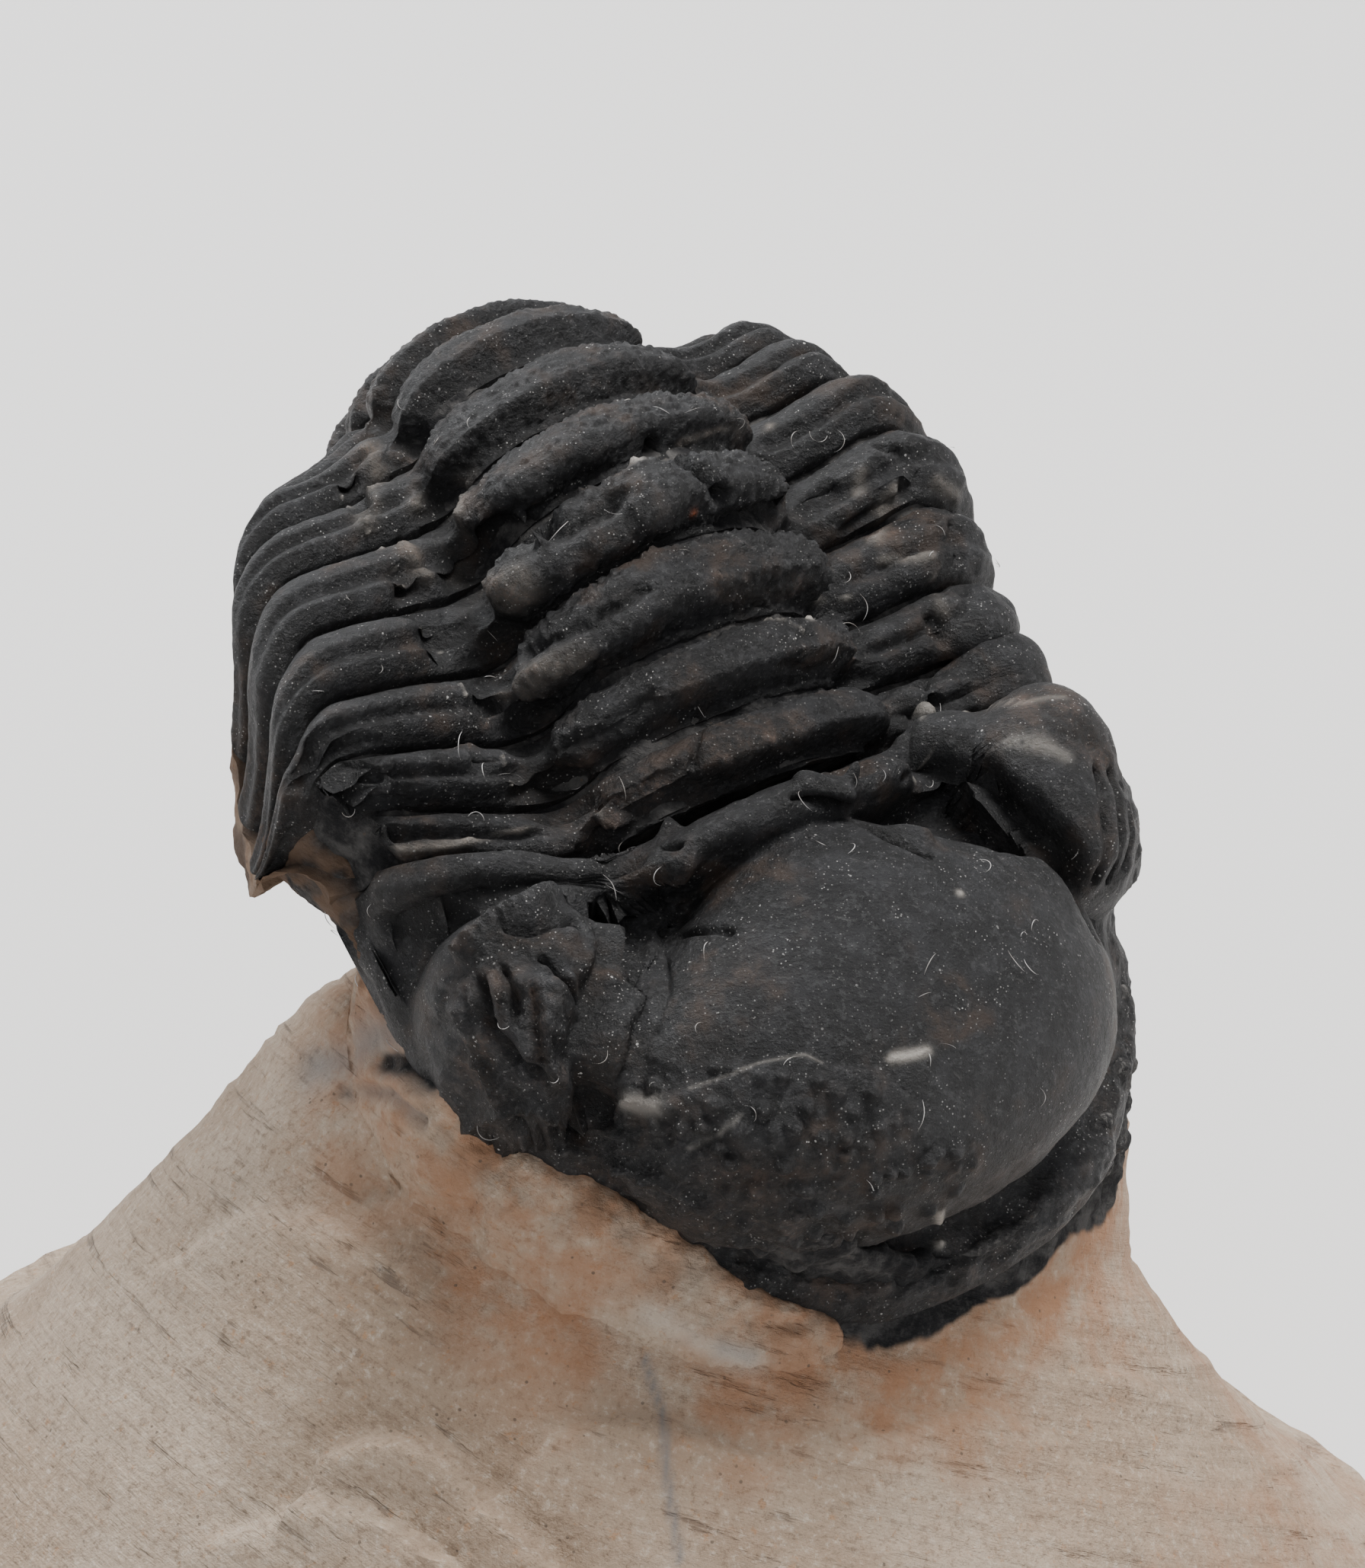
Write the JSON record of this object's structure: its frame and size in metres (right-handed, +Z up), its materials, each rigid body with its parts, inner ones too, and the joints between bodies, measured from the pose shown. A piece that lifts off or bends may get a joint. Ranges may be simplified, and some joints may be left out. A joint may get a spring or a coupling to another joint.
{
  "type": "fossil trilobite on a limestone mound",
  "caption": "Arched fossil trilobite with a domed tubercled head, lobed body rings and ribs, on a carved limestone mound with a flat base to stand on.",
  "frame": {"origin": "middle of the whole piece's outline, on the flat base", "axes": "+Z up; the animal's head faces -Y, turned 35 degrees towards +X"},
  "size_m": [0.06, 0.0662, 0.0442],
  "materials": {
    "tan_limestone": "matte, sawn and ground",
    "black_shell": "semi-gloss, worn"
  },
  "bodies": {
    "root": {"limestone_matrix": "tan_limestone", "head_shield": "black_shell", "thorax_segment_01": "black_shell", "thorax_segment_02": "black_shell", "thorax_segment_03": "black_shell", "thorax_segment_04": "black_shell", "thorax_segment_05": "black_shell", "thorax_segment_06": "black_shell", "thorax_segment_07": "black_shell", "thorax_segment_08": "black_shell", "thorax_segment_09": "black_shell", "thorax_segment_10": "black_shell", "thorax_segment_11": "black_shell", "tail_shield": "black_shell"}
  },
  "joints": []
}
